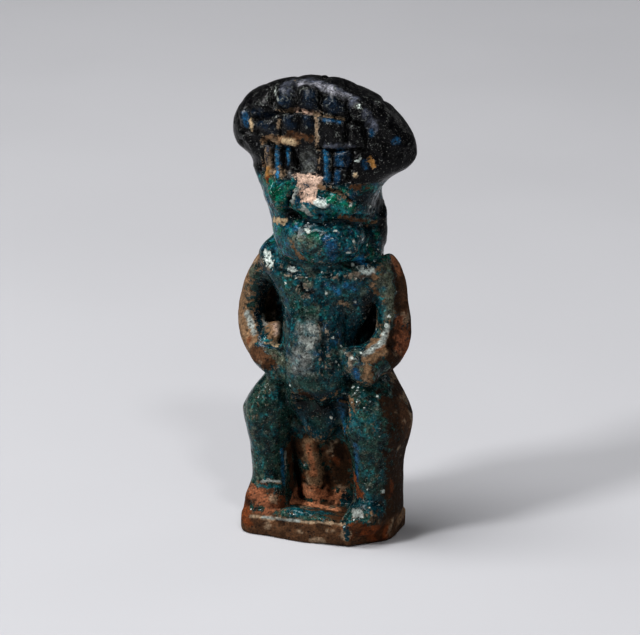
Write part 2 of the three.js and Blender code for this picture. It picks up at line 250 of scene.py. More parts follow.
# Carving on the back, in the same form, with places in millimetres across and up.
LOCKS = (-2.7, -0.9, 0.9, 2.7)
PLUMES = (-5.0, -3.0, -1.0, 1.0, 3.0, 5.0)
PLUME_LEAN = 0.8
PLUME_TOP = 36.3
PLUME_FALL = 0.06
BACK_RELIEF = [
    ("waist", -0.4, 2.2, [(-3.0, 15.6), (3.0, 15.6)]),
    ("nape", -0.3, 1.1, [(-4.0, 22.3), (4.0, 22.3)]),
    ("hollow of the knees", -0.3, 2.0, [(-3.4, 6.6), (3.4, 6.6)]),
    ("lower edge of the mane", -0.3, 0.26, [(-4.2, 23.3), (0.0, 23.0), (4.2, 23.3)]),
    *[("lock of the mane", -0.3, 0.2, [(x, 29.4), (x, 23.9)]) for x in LOCKS],
    *[("plume", -0.4, 0.24, [(x, 30.6), (PLUME_LEAN * x, PLUME_TOP - PLUME_FALL * x * x)]) for x in PLUMES],
    ("spine", -0.26, 0.5, [(0.0, 21.6), (0.0, 14.2)]),
    ("gap between the legs", -0.34, 0.55, [(0.1, 11.4), (0.2, 2.6)]),
    ("inside of the left arm", -0.26, 0.4, [(-4.7, 22.0), (-4.9, 18.0), (-4.6, 14.8)]),
    ("inside of the right arm", -0.26, 0.4, [(4.7, 22.0), (4.9, 18.0), (4.6, 14.8)]),
    ("step over the base", -0.16, 0.24, [(-5.2, 2.0), (5.2, 2.0)]),
]

# Flat chips: name, depth in millimetres, radius, and the pixel at the middle.
CHIPS = [
    ("crown corner", 0.22, 0.8, (371, 161)),
    ("crown right tip", 0.18, 0.8, (412, 157)),
    ("right shoulder", 0.25, 1.0, (397, 262)),
    ("right upper arm", 0.3, 1.3, (403, 292)),
    ("right elbow", 0.42, 1.5, (402, 336)),
    ("left shoulder", 0.15, 0.7, (268, 257)),
    ("base corner", 0.2, 1.3, (366, 531)),
    ("left base end", 0.2, 0.9, (246, 510)),
]

# Broad paint: name, colour, radius in millimetres, and lines through the photo's pixels.
BROAD_PAINT = [
    ("sheen over the pads", "slate", 0.75, [(284, 84), (308, 81), (334, 88), (352, 101)]),
    # Painted shade on the left end of the crown.
    ("left end of the crown", "shadow", 0.8, [(238, 122), (241, 138), (252, 150)]),
    ("left pads", "navy", 0.8, [(284, 94), (284, 102)], [(308, 97), (308, 104)]),
    ("third pad", "navy", 0.9, [(332, 101), (334, 108)]),
    # Painted sheen on the crown's right flank.
    ("right flank of the crown", "slate", 0.5, [(366, 112), (374, 128)]),
    ("bright sheen over the pads", "sheen", 0.62, [(302, 83), (316, 84), (332, 90), (346, 99)]),
    ("second tier sand", "tan", 0.6, [(264, 139), (285, 141), (297, 141)]),
    ("second tier tan", "brown", 0.55, [(290, 134), (310, 138)]),
    ("third tier sand", "sand", 0.75, [(267, 152), (269, 172), (284, 172)]),
    ("broken plume", "ash", 0.85, [(310, 155), (309, 168)]),
    ("left cheek", "emerald", 1.25, [(268, 184), (278, 194), (282, 206)]),
    ("right cheek", "emerald", 0.95, [(330, 198), (348, 209)]),
    ("dark temple", "black", 1.1, [(363, 198), (380, 211)]),
    ("dark jaw", "shadow", 1.0, [(378, 200), (384, 222), (385, 243)]),
    ("beard", "teal", 1.2, [(300, 243), (348, 241)]),
    ("left chest", "moss", 1.6, [(286, 290), (303, 310)]),
    ("right chest", "teal", 1.6, [(326, 280), (352, 288)]),
    # Painted shade on the right side of the beard.
    ("right side of the beard", "petrol", 0.9, [(366, 232), (376, 248)]),
    ("flank", "deep teal", 1.3, [(336, 312), (350, 331)]),
    # Painted shade under the belly, over dark glaze.
    ("below the belly", "petrol", 1.3, [(296, 396), (330, 396)]),
    # Painted shade in the right recess.
    ("right recess", "shadow", 1.2, [(369, 302), (371, 320), (358, 340)]),
    # Painted shade on the inner wall of the left arm, over dark glaze.
    ("left recess", "petrol", 0.85, [(262, 280), (263, 322)]),
    ("left arm", "tan", 1.2, [(246, 285), (242, 315), (250, 345)]),
    ("left forearm", "brown", 0.9, [(254, 352), (266, 366)]),
    ("right arm front", "grey green", 1.15, [(384, 266), (388, 290), (388, 322)]),
    ("right arm inner face", "teal", 0.5, [(379, 300), (380, 322)]),
    ("right forearm", "teal", 0.75, [(375, 333), (352, 352)]),
    ("fist", "grey green", 0.95, [(356, 368), (372, 374)]),
    ("left hand", "grey green", 0.9, [(270, 352), (284, 362)]),
    ("right arm side", "brown", 0.9, [(402, 270), (406, 310)]),
    ("right elbow chip", "sienna", 0.95, [(401, 322), (403, 350)]),
    ("right hip", "moss", 1.0, [(381, 366), (388, 390)]),
    ("left thigh", "moss", 1.6, [(262, 400), (275, 425)]),
    ("right thigh", "moss", 1.8, [(352, 405), (380, 430)]),
    ("right thigh front", "teal", 0.95, [(340, 395), (352, 425)]),
    ("right thigh side", "brown", 0.9, [(402, 405), (408, 430)]),
    # Painted shade between the thighs under the belly, over dark glaze.
    ("loin", "petrol", 1.5, [(302, 412), (320, 425), (334, 412)]),
    ("depth of the loin", "shadow", 1.1, [(302, 404), (322, 418), (336, 406)]),
    ("shins", "moss", 1.3, [(266, 448), (270, 474)], [(366, 450), (378, 480)]),
    ("back wall", "brown", 1.8, [(300, 448), (342, 452), (338, 480), (300, 484)]),
    ("back wall shade", "umber", 0.9, [(336, 446), (342, 476)]),
    ("leg side", "brown", 0.6, [(289, 445), (293, 488)]),
    ("roll", "tan", 1.0, [(311, 446), (316, 478)]),
    ("lost foot", "sienna", 1.4, [(252, 494), (282, 507)]),
    ("floor between the feet", "peach", 0.9, [(298, 492), (342, 496)]),
    ("ledge between the feet", "peach", 0.45, [(291, 500), (338, 510)]),
    ("glaze pool", "deep teal", 0.6, [(290, 509), (330, 514)]),
    ("right foot", "deep teal", 1.2, [(348, 500), (380, 508)]),
    ("base corner chip", "rust", 1.0, [(354, 530), (380, 534)]),
    ("left base end", "rust", 0.6, [(246, 498), (247, 522)]),
]

# Fine paint, laid over the mottled zones, in the same form.
FINE_PAINT = [
    ("top rim", "umber", 0.3, [(318, 75), (346, 77)]),
    ("edge of the first pad", "frost", 0.14, [(277, 84), (275, 91), (278, 100)]),
    ("shine on the first pad", "slate", 0.55, [(282, 88), (289, 92)]),
    ("ledge under the first pad", "sand", 0.36, [(278, 111), (296, 108)]),
    ("ledge under the second pad", "pink", 0.42, [(299, 110), (312, 112), (318, 113)]),
    ("ledge under the third pad", "sand", 0.28, [(320, 114), (345, 119)]),
    ("ends of the first groove", "sand", 0.2, [(295, 80), (294, 86)], [(296, 98), (296, 108)]),
    # Painted shade in the grooves beside the pads.
    ("dark grooves", "shadow", 0.3, [(321, 94), (320, 110)], [(347, 101), (346, 114)]),
    ("left end blue", "blue", 0.4, [(245, 114), (246, 125)]),
    ("left end navy", "navy", 0.6, [(257, 112), (272, 116)]),
    ("left end sand", "cream", 0.26, [(251, 120), (252, 130)]),
    ("sand strips", "sand", 0.28, [(279, 117), (279, 128)], [(316, 115), (317, 147)]),
    ("left navy patches", "navy", 0.55, [(258, 123), (271, 130)], [(287, 119), (291, 126)]),
    ("third navy patch", "navy", 0.5, [(304, 118), (310, 125)]),
    # Cream sand, lightened as a painted highlight.
    ("bright sandy lump", "cream", 0.34, [(285, 141), (293, 143)]),
    ("teal band", "blue", 0.3, [(326, 119), (339, 121)]),
    ("first blue strip", "slate", 0.3, [(268, 147), (267, 160)]),
    ("left blue strips", "bright blue", 0.28, [(277, 148), (277, 176)], [(288, 148), (288, 164)]),
    # Painted shade on the wall of the broken plume.
    ("broken plume wall", "shadow", 0.36, [(292, 150), (298, 165)]),
    ("broken plume edge", "sand", 0.2, [(319, 150), (319, 168)]),
    # Painted highlight along the edge of the ledge.
    ("ledge over the third tier", "slate", 0.24, [(325, 146), (354, 147)]),
    ("fourth blue strip", "bright blue", 0.34, [(326, 149), (326, 181)]),
    # Painted shade in the gap beside the fourth strip.
    ("gap beside the fourth strip", "umber", 0.18, [(332, 152), (332, 166)]),
    ("fifth blue strip", "blue", 0.5, [(340, 152), (340, 165)]),
    ("fifth strip face", "navy", 0.45, [(348, 153), (348, 166)]),
    ("sixth blue strip", "blue", 0.34, [(338, 171), (337, 182)]),
    ("white lumps", "pale", 0.24, [(357, 162), (362, 156)]),
    ("cream lump", "cream", 0.28, [(355, 174), (356, 177)]),
    ("ochre chip", "ochre", 0.38, [(370, 158), (373, 166)]),
    ("blue on the right", "blue", 0.3, [(364, 161), (366, 168)], [(394, 142), (398, 140)]),
    ("small blue", "blue", 0.22, [(371, 131), (372, 135)]),
    ("white spot", "pale", 0.2, [(359, 105), (360, 109)]),
    ("strip above the cheek", "ochre", 0.34, [(267, 170), (268, 186)]),
    ("rust above the cheek", "rust", 0.26, [(268, 178), (268, 186)]),
    ("pale cyan spot", "bright teal", 0.3, [(293, 181)]),
    ("white glaze", "pale", 0.62, [(316, 202), (327, 205)]),
    ("left cheek green", "emerald", 0.85, [(269, 187), (280, 199)]),
    ("right cheek green", "emerald", 0.6, [(331, 200), (350, 209)]),
    ("nose scar", "pink", 1.05, [(304, 180), (316, 182), (308, 194)]),
    ("lower nose scar", "pink", 0.55, [(304, 196), (312, 200)]),
    ("left side of the scar", "pink", 0.5, [(305, 184), (307, 190)]),
    ("warm edge of the scar", "tan", 0.4, [(322, 187), (331, 189)]),
    ("nose stub", "frost", 0.32, [(296, 190), (292, 202)]),
    ("cheek streak", "sand", 0.26, [(331, 187), (341, 193), (350, 202)]),
    ("orange spot", "rust", 0.3, [(346, 199), (349, 201)]),
    ("cheek shine", "bright teal", 0.5, [(332, 208), (346, 212)]),
    ("brown under the crown", "brown", 0.45, [(352, 187), (367, 189)]),
    ("temple shade", "petrol", 1.0, [(364, 197), (378, 212)]),
    ("jaw shade", "shadow", 0.8, [(383, 204), (385, 222), (386, 242)]),
    ("temple specks", "pale", 0.18, [(367, 204), (374, 211)]),
    ("teeth", "frost", 0.4, [(303, 209), (310, 215)]),
    ("moustache ledge", "brown", 0.36, [(340, 218), (352, 219), (376, 223)]),
    ("bright end of the ledge", "tan", 0.3, [(366, 226), (376, 222)]),
    # Painted shade in the mouth hollow and, over dark glaze, in the band under the cheeks.
    ("mouth hollow", "shadow", 0.6, [(288, 212), (297, 219)]),
    ("band under the cheeks", "petrol", 0.36, [(304, 221), (326, 226), (344, 222)]),
    ("chips on the chin", "cream", 0.46, [(274, 219), (283, 222)]),
    ("turquoise spot", "bright blue", 0.28, [(296, 225), (296, 229)]),
    ("beard wear", "grey green", 0.9, [(293, 240), (311, 244)]),
    ("brown beard wear", "tan", 0.4, [(291, 240), (296, 252), (302, 258)]),
    ("beard blue", "blue", 0.7, [(328, 240), (334, 256)]),
    # Painted highlight: a ring-shaped glint on the beard.
    ("beard ring", "pale", 0.22, [(306, 229), (309, 232)]),
    ("beard glint", "pale", 0.2, [(333, 232), (338, 232)]),
    ("left shoulder chip", "pale", 0.55, [(266, 253), (271, 262)]),
    ("chest chip", "pale", 0.36, [(290, 269), (295, 270)]),
    ("right chest chip", "pale", 0.5, [(360, 267), (371, 270)]),
    ("blue specks", "bright blue", 0.4, [(359, 259), (364, 264)]),
    ("second blue specks", "bright blue", 0.34, [(333, 288), (338, 292)]),
    ("left chest wear", "moss", 0.8, [(292, 300), (310, 314)]),
    ("breast disc", "grey green", 0.5, [(309, 285)]),
    ("breast disc shade", "shadow", 0.36, [(301, 284), (304, 291), (312, 292)]),
    ("right chest specks", "bright blue", 0.3, [(345, 286), (356, 290)]),
    ("right chest smudge", "sand", 0.34, [(340, 303), (348, 306)]),
    ("cyan speck", "bright teal", 0.24, [(327, 307)]),
    ("flank", "deep teal", 1.1, [(338, 312), (350, 330)]),
    ("belly wear", "ash", 1.4, [(308, 332), (301, 350), (298, 366)]),
    ("low belly", "moss", 0.9, [(302, 382), (318, 387)]),
    ("belly shine", "frost", 0.6, [(313, 327), (307, 345)]),
    ("foot of the belly", "umber", 0.5, [(300, 392), (312, 398)]),
    ("front of the loin", "deep teal", 1.4, [(306, 412), (322, 428), (338, 408)]),
    ("point of the belly", "moss", 0.9, [(306, 400), (316, 412), (321, 430)]),
    ("shade of the point", "shadow", 0.8, [(302, 403), (316, 412), (330, 406)]),
    ("edge of the loin", "deep teal", 0.6, [(304, 430), (328, 438), (340, 430)]),
    ("streak down the roll", "moss", 0.24, [(320, 438), (320, 458)]),
    ("left recess wall", "umber", 0.45, [(272, 287), (273, 308)]),
    ("left recess lump", "tan", 0.85, [(270, 318), (273, 338)]),
    ("left recess floor", "cream", 0.26, [(266, 343), (278, 345)]),
    ("left recess glint", "pink", 0.26, [(274, 314), (277, 333)]),
    ("left recess shine", "frost", 0.22, [(263, 315), (265, 325)]),
    # Painted shade at the edge of the left recess.
    ("left recess edge", "petrol", 0.45, [(257, 280), (256, 305), (260, 335)]),
    ("left arm edge", "moss", 0.6, [(259, 262), (253, 285), (252, 305)]),
    ("left arm stain", "grey green", 0.5, [(252, 268), (246, 296)]),
    ("left arm streak", "frost", 0.3, [(247, 312), (254, 333)]),
    ("left forearm wear", "brown", 0.7, [(258, 350), (272, 364)]),
    ("left hand wear", "grey green", 0.7, [(276, 352), (288, 366)]),
    # White grit with a painted highlight along the forearm's ridge.
    ("right forearm grit", "frost", 0.36, [(388, 326), (382, 342), (364, 354)]),
    ("right arm wear", "grey green", 0.45, [(388, 266), (391, 290), (390, 316)]),
    ("right shoulder chip", "orange", 0.6, [(393, 258), (398, 270)]),
    ("fist stain", "blue", 0.36, [(354, 368), (357, 377)]),
    ("fist edge", "tan", 0.4, [(367, 367), (371, 378)]),
    ("bright edges of the legs", "bright blue", 0.26, [(340, 398), (345, 432)], [(282, 450), (284, 484)]),
    ("left shin glint", "frost", 0.16, [(285, 452), (286, 482)]),
    ("ankle line", "frost", 0.2, [(262, 480), (280, 481)]),
    ("ankle glaze", "teal", 0.2, [(258, 486), (284, 487)]),
    # Painted shade in the slit beside the left leg.
    ("slit", "umber", 0.3, [(292, 440), (300, 484)]),
    ("roll ridge", "orange", 0.3, [(308, 446), (314, 474)]),
    ("right leg edge", "blue", 0.34, [(356, 446), (357, 480)]),
    ("wedge", "rust", 0.5, [(354, 475), (360, 495)]),
    ("pool", "teal", 0.65, [(290, 509), (330, 514)]),
    ("pool shine", "teal", 0.26, [(292, 506), (318, 509)]),
    # Painted highlight on the right foot.
    ("right foot wear", "frost", 0.5, [(354, 511), (360, 513)]),
    ("base edge line", "sand", 0.18, [(250, 516), (300, 521), (345, 524)]),
    ("base edge shine", "frost", 0.12, [(262, 517), (300, 521)]),
    ("base drip", "deep teal", 0.3, [(346, 524), (347, 540)]),
    ("base side", "tan", 0.7, [(400, 522), (404, 508)]),
]

# Pixels of the painted highlights, small white glints on the glaze, and their radius in millimetres.
GLINTS = [
    (374, 212), (360, 226), (363, 239), (353, 242), (367, 245), (349, 253), (353, 265), (321, 234),
    (326, 293), (285, 283), (355, 302), (333, 338), (341, 346), (290, 385), (353, 387),
    (345, 394), (377, 396), (332, 418), (383, 491), (368, 489), (336, 362),
    (389, 316), (386, 325), (383, 334), (379, 342), (371, 349), (361, 353), (351, 358),
]
GLINT_RADIUS = 0.2

# Patches inside each zone: colour, size in millimetres, where in the noise they start, and strength.
MOTTLE = {
    "head": [
        ("petrol", 0.5, 0.08, 0.8),
        ("bright teal", 0.4, 0.16, 0.8),
        ("blue", 0.45, 0.2, 0.7),
        ("emerald", 0.8, 0.16, 0.8),
        ("pale", 0.18, 0.48, 0.7),
    ],
    "torso": [
        ("moss", 0.8, 0.02, 0.6),
        ("petrol", 0.6, 0.05, 0.8),
        ("teal", 0.5, 0.1, 0.7),
        ("blue", 0.45, 0.3, 0.55),
        ("bright teal", 0.35, 0.3, 0.7),
        ("grey green", 0.6, 0.2, 0.6),
        ("pale", 0.18, 0.46, 0.7),
    ],
    "legs": [
        ("petrol", 0.7, 0.08, 0.7),
        ("teal", 0.6, 0.18, 0.6),
        ("grey green", 0.5, 0.22, 0.6),
        ("bright teal", 0.3, 0.4, 0.6),
        ("pale", 0.18, 0.5, 0.6),
    ],
    "crown": [
        ("shadow", 0.6, 0.12, 0.7),
        ("slate", 0.5, 0.3, 0.35),
    ],
    "bare": [
        ("umber", 1.6, 0.24, 0.25),
        ("rust", 1.4, 0.34, 0.2),
        ("sand", 1.0, 0.26, 0.25),
        ("moss", 0.9, 0.28, 0.3),
    ],
}

# How smooth the glaze of each zone is, from 0 to 1.
POLISH = {"head": 0.95, "torso": 0.95, "legs": 0.8, "crown": 0.5}

# The first coats: colour, zone and strength. The bare ones go over the pale bed of the glaze.
GLAZE_COATS = [
    ("moss", "legs", 1.0),
    ("teal", "head", 0.6),
    ("tan", "arms", 0.9),
    # Worn body on the right-facing sides, made a darker umber as painted shade on the side away from the
    # light.
    ("umber", "sides", 0.9),
    ("black", "crown", 1.0),
]
BARE_COATS = [("brown", "base", 1.0), ("brown", "worn back", 0.7)]
PALE_BED = 0.35

# How coats cover each other, and which glaze is light enough to be mottled.
FIRST_BARE = 0.035
GLAZE_COVER = 0.85
BODY_SPREAD = 3.0
BARE_RANGE = (0.3, 0.7)
LIGHT_RANGE = (0.008, 0.02)
PATCH_SEED = 101
SEED_STEP = 7
PATCH_BORDER = 0.16

# Painted shade and dirt in hollows, and wear on edges: depths in millimetres, and strengths.
DARK_HOLLOW_DEPTH = (0.02, 0.12)
HOLLOW_SHADE_AND_DIRT = 0.75
PIT_SHADE_AND_DIRT = 0.5
EDGE_RISE = (0.02, 0.09)
EDGE_NOISE = (0.5, 51)
EDGE_RAGGED = 0.03
EDGE_WEAR = 0.75
CROWN_KEEPS = 0.6
HEAD_KEEPS = 0.45

# Brush strokes: soft and ragged borders as shares of the radius, size and seed of the noise in them,
# the longest jump in depth that a stroke follows, and the least strength of broad and of fine paint.
PAINT_SOFTNESS = 0.75
BROAD_CUT = 0.4
BROAD_SOFTNESS = 0.9
NARROW_SOFTNESS = 0.35
BRUSH_RAGGED = 0.6
CARVING_RAGGED = 0.18
BRUSH_NOISE = (0.45, 71)
BROKEN_NOISE = (0.4, 81)
BROKEN_RANGE = (-0.35, 0.15)
SAME_SIDE = (-0.5, 0.1)
BRUSH_GAP = 1.2
SHORTEST_SQUARE = 1e-9
BROAD_LEAST = 0.85
FINE_LEAST = 0.45

# Material textures: scale per millimetre, detail and roughness. Most values lie in the middle range.
GRAIN = (6.0, 5.0, 0.7)
CLOUD = (1.9, 6.0, 0.65)
BREAK_UP = (3.4, 6.0, 0.7)
SPECK = (9.0, 2.0, 0.5)
WAVE = (1.8, 1.0, 0.4)
FLOOR_MOTTLE = (0.02, 3.0, 0.5)
PIT_SCALE = 3.1
MIDDLE = (0.3, 0.7)
UNIT = (0.0, 1.0)

# Material colour: what the textures make of the coat's two colours.
SHOW_CHANCE = (0.02, 0.98)
SHOW_BORDER = (-0.22, 0.22)
CLOUD_THICKNESS = (0.4, 1.7)
GRAIN_THICKNESS = (0.3, 1.75)
CLOUD_SAND = (0.6, 1.3)
SAND_MIDDLE = (0.32, 0.68)
GRAIN_SAND = (0.55, 1.4)
SPECK_RANGE = (0.64, 0.72)
SPECK_STRENGTH = 0.4
SPECK_COLOUR = (0.4, 0.39, 0.36, 1.0)
PIT_EDGE = (0.36, 0.18)
PIT_CHOICE = (0.62, 0.68)
PIT_STRENGTH = 0.6
PIT_COLOUR = (0.012, 0.011, 0.010, 1.0)

# Material gloss and bump: roughness from dull to polished, and heights as shares of the bump in metres.
GLAZE_ROUGHNESS = (0.46, 0.1)
BODY_ROUGHNESS = (0.85, 0.2)
CLOUD_MIDDLE = (0.45, 0.7)
CLOUD_DULL = (0.0, 0.12)
SPECULAR = 0.15
WAVE_HEIGHT = 0.6
GRAIN_DEPTH = 0.35
GLAZE_HEIGHT = 0.5
BUMP_STRENGTH = 0.7
BUMP_METRES = 0.00014

# Places of a mix node's inputs and outputs, which share their names.
MIX_VALUES = (2, 3)
MIX_COLOURS = (6, 7)
MIXED_VALUE = 0
MIXED_COLOUR = 2

# Studio: lights are named, with place and size in metres and power in watts.
LIGHTS = [
    ("key", (-0.26, -0.36, 0.36), 0.1, 1.9),
    ("overhead", (-0.14, -0.08, 0.55), 0.26, 2.5),
    ("kicker", (0.2, -0.26, 0.42), 0.06, 0.45),
    ("fill", (0.42, -0.3, 0.22), 0.3, 0.22),
    ("rim", (0.25, 0.4, 0.3), 0.2, 0.15),
]
LIGHT_AIM = Vector((0.0, 0.0, 0.019))
WORLD_GREY = (0.62, 0.64, 0.68, 1.0)
WORLD_STRENGTH = 0.03
FLOOR_RADIUS = 1.3
FLOOR_RIM = 0.5
FLOOR_RINGS = (0.05, 0.3)
FLOOR_TURNS = 96
RIM_STEPS = 12
FLOOR_ROUGHNESS = (0.55, 0.75)
FLOOR_COLOUR = (0.5, 0.5, 0.52, 1.0)
FLOOR_SHADE = (0.47, 0.47, 0.49, 1.0)


def linear(colour):
    """An 8-bit sRGB colour as linear light, by the curve that sRGB is defined with."""
    value = np.array(colour) / 255.0
    return np.where(value <= 0.04045, value / 12.92, ((value + 0.055) / 1.055) ** 2.4)


def smooth(share):
    """A share from 0 to 1 that starts and ends its rise gently."""
    return share * share * (3.0 - 2.0 * share)


def ramp(low, high, values):
    """0 at low, 1 at high, and a smooth rise between them."""
    return smooth(np.clip((values - low) / (high - low), 0.0, 1.0))


def above(place, edge, values):
    """A ramp with its middle at this place. With a negative edge it falls."""
    return ramp(place - edge, place + edge, values)


def between(low, high, border, values):
    """1 between low and high, with a border inside each where it falls to 0."""
    return ramp(low, low + border, values) * ramp(high, high - border, values)


def scatter(cells, seed):
    """A fixed random value from -1 to 1 for each whole-number cell."""
    across, deep, up = (cells * CELL_FACTORS).T
    mixed = across ^ deep ^ up ^ seed * SEED_FACTOR
    for shift, factor in SCRAMBLE:
        mixed = (mixed ^ mixed >> shift) * factor & LONG_BITS
    return ((mixed ^ mixed >> LAST_SHIFT) & SHORT_BITS) / (SHORT_BITS / 2) - 1.0


def noise(points, size, seed):
    """Smooth random values from -1 to 1 that change over about this size."""
    grid = points / size
    cells = np.floor(grid).astype(np.int64)
    share = smooth(grid - cells)
    total = np.zeros(len(points))
    for corner in itertools.product((0, 1), repeat=3):
        weight = np.prod(np.where(corner, share, 1.0 - share), axis=1)
        total += weight * scatter(cells + corner, seed)
    return total


def rough_noise(points, size, seed):
    """Noise of this size with two finer layers on it."""
    layers = enumerate(NOISE_LAYERS)
    return sum(noise(points, size * scale, seed + i) * part for i, (scale, part) in layers)


class BackView:
    """Level sight lines from behind. Places and steps are in millimetres across and up."""

    step = 0.4
    away = 50.0

    def sight(self, place):
        """Where the sight line of this place starts, and its direction."""
        return Vector((place[0], self.away, place[1])), Vector((0.0, -1.0, 0.0))


class PhotoView:
    """The photograph's camera, in millimetres. Places and steps are in the photograph's pixels."""

    step = 5.0

    def __init__(self):
        azimuth = math.radians(AZIMUTH)
        elevation = math.radians(ELEVATION)
        self.right = np.array((math.cos(azimuth), math.sin(azimuth), 0.0))
        level = np.array((math.sin(azimuth), -math.cos(azimuth), 0.0))
        self.back = level * math.cos(elevation) + np.array((0.0, 0.0, math.sin(elevation)))
        self.up = np.cross(self.back, self.right)
        self.eye = LOOK_AT + self.back * DISTANCE
        self.focal = PIXELS_PER_MM * DISTANCE

    def sight(self, pixel):
        """Where the sight line of this pixel starts, and its direction."""
        across = (pixel[0] - IMAGE_WIDTH / 2) / self.focal
        down = (pixel[1] - IMAGE_HEIGHT / 2) / self.focal
        direction = self.right * across - self.up * down - self.back
        return Vector(self.eye), Vector(direction).normalized()

    def add_camera(self):
        """A camera of the same place and angle."""
        data = bpy.data.cameras.new("photo_camera")
        data.sensor_width = SENSOR
        data.lens = SENSOR * self.focal / IMAGE_WIDTH
        data.clip_start = NEAREST_METRES
        camera = bpy.data.objects.new("photo_camera", data)
        turn = Matrix((self.right, self.up, self.back)).transposed()
        camera.matrix_world = Matrix.Translation(self.eye / MM_PER_M) @ turn.to_4x4()
        bpy.context.scene.collection.objects.link(camera)
        bpy.context.scene.camera = camera


class Surface:
    """The piece's mesh in millimetres, with its points, normals and edges as arrays."""

    def __init__(self, mesh):
        self.mesh = mesh
        self.points = read(mesh.vertices, "co", 3)
        self.edges = read(mesh.edges, "vertices", 2, np.int32)
        self.degree = np.bincount(self.edges.ravel(), minlength=len(self.points))[:, None]
        self.refresh()

    def refresh(self):
        """Hands the points to the mesh and takes new normals and a new ray tree from it."""
        self.mesh.vertices.foreach_set("co", self.points.astype(np.float32).ravel())
        self.mesh.update()
        self.normals = read(self.mesh.vertex_normals, "vector", 3)
        solid = bmesh.new()
        solid.from_mesh(self.mesh)
        self.tree = BVHTree.FromBMesh(solid)
        solid.free()

    def mean_of_neighbours(self, values):
        """Each point's mean over the points that an edge joins to it."""
        count = len(self.points)
        first, second = self.edges.T
        sums = [
            np.bincount(first, column[second], count) + np.bincount(second, column[first], count)
            for column in values.T
        ]
        return np.stack(sums, axis=1) / self.degree

    def soften(self, values, rounds, weight=1.0):
        """Values smoothed along the surface."""
        for _ in range(rounds):
            values = values + weight * (self.mean_of_neighbours(values) - values)
        return values

    def path(self, view, places):
        """The points and mean normal where a view's line of places meets the surface."""
        spots = []
        normals = []
        for place in stepped(places, view.step):
            spot, normal, _, _ = self.tree.ray_cast(*view.sight(place))
            if spot is not None:
                spots.append(np.array(spot))
                normals.append(np.array(normal))
        if not spots:
            return None, None
        mean = np.mean(normals, axis=0)
        return np.array(spots), mean / np.linalg.norm(mean)

    def brush(self, view, places, radius, softness, edge):
        """How much of a brush stroke along these places each point gets, from 0 to 1."""
        spots, normal = self.path(view, places)
        strength = np.zeros(len(self.points))
        if spots is None:
            return strength
        reach = radius * (1.0 + BRUSH_RAGGED)
        low = spots.min(axis=0) - reach
        high = spots.max(axis=0) + reach
        near = np.flatnonzero(np.all((self.points > low) & (self.points < high), axis=1))
        away = distance_to_path(self.points[near], spots) / radius
        away = away + edge[near]
        same_side = ramp(*SAME_SIDE, self.normals[near] @ normal)
        strength[near] = ramp(1.0, 1.0 - softness, away) * same_side
        return strength


def read(items, name, width, kind=np.float32):
    """A property of many mesh items as an array."""
    values = np.empty(len(items) * width, kind)
    items.foreach_get(name, values)
    values = values.reshape(-1, width)
    return values.astype(np.float64) if kind is np.float32 else values


def stepped(places, longest):
    """The places of a line, with more put in so that no step is longer than this."""
    line = [np.array(places[0], float)]
    for place in places[1:]:
        start = line[-1]
        end = np.array(place, float)
        steps = max(1, math.ceil(np.linalg.norm(end - start) / longest))
        line += [start + (end - start) * step / steps for step in range(1, steps + 1)]
    return line


def distance_to_path(points, spots):
    """Each point's distance to a line through the spots. The line is broken where it jumps in depth."""
    nearest = np.linalg.norm(points - spots[0], axis=1)
    for start, end in zip(spots, spots[1:]):
        along = end - start
        length = np.linalg.norm(along)
        if length > BRUSH_GAP:
            start = end
        share = np.clip((points - start) @ along / max(length * length, SHORTEST_SQUARE), 0.0, 1.0)
        foot = start + share[:, None] * (end - start)
        nearest = np.minimum(nearest, np.linalg.norm(points - foot, axis=1))
    return nearest


def dense_mesh(node):
    """A fine even mesh of the node's form, in millimetres."""
    source = bpy.data.objects.new("form", node.data.copy())
    source.data.transform(Matrix.Scale(MM_PER_M, 4))
    bpy.context.scene.collection.objects.link(source)
    remesh = source.modifiers.new("even", "REMESH")
    remesh.mode = "VOXEL"
    remesh.voxel_size = VOXEL
    graph = bpy.context.evaluated_depsgraph_get()
    mesh = bpy.data.meshes.new_from_object(source.evaluated_get(graph))
    bpy.data.objects.remove(source)
    return mesh


def round_off(surface):
    """Takes the facets off the form, and swells it again by what that took from its outline."""
    body = above(BASE_HEIGHT, BASE_BORDER, surface.points[:, 2])[:, None]
    surface.points = surface.soften(surface.points, FACET_ROUNDS, FACET_WEIGHT)
    surface.points = surface.soften(surface.points, SOFTENING_ROUNDS, SOFTENING_WEIGHT * body)
    head = between(SHOULDER_HEIGHT, CROWN_FOOT, HEAD_BORDER, surface.points[:, 2])[:, None]
    surface.points = surface.soften(surface.points, HEAD_ROUNDS, SOFTENING_WEIGHT * head)
    surface.refresh()
    upper = ramp(SHOULDER_HEIGHT - SWELL_BORDER, SHOULDER_HEIGHT, surface.points[:, 2])[:, None]
    swell = body * BODY_SWELL + upper * (HEAD_SWELL - BODY_SWELL)
    surface.points += surface.normals * swell
    surface.refresh()


def carve(surface, view, edge_noise):
    """The carving and the chips that the photograph shows, and plainer carving on the back."""
    height = np.zeros(len(surface.points))
    edge = CARVING_RAGGED * edge_noise
    for side, strokes in ((view, RELIEF), (BackView(), BACK_RELIEF)):
        for _, rise, radius, *lines in strokes:
            softness = BROAD_SOFTNESS if radius > BROAD_CUT else NARROW_SOFTNESS
            for places in lines:
                height += rise * surface.brush(side, places, radius, softness, edge)
    surface.points += surface.normals * height[:, None]
    for _, depth, radius, pixel in CHIPS:
        chip(surface, view, depth, radius, pixel, edge_noise)
    surface.refresh()


def chip(surface, view, depth, radius, pixel, edge_noise):
    """Cuts the surface down to a slightly uneven plane around one pixel."""
    spots, normal = surface.path(view, [pixel])
    if spots is None:
        return
    offset = surface.points - spots[0]
    inside = ramp(*CHIP_EDGE, np.linalg.norm(offset, axis=1) / radius)
    cut = np.clip(offset @ normal + depth + CHIP_UNEVEN * edge_noise, 0.0, None)
    surface.points -= normal * (cut * inside)[:, None]


def uneven(kind, points, height, size, seed):
    """Heights from one kind of noise."""
    return height * kind(points, size, seed)


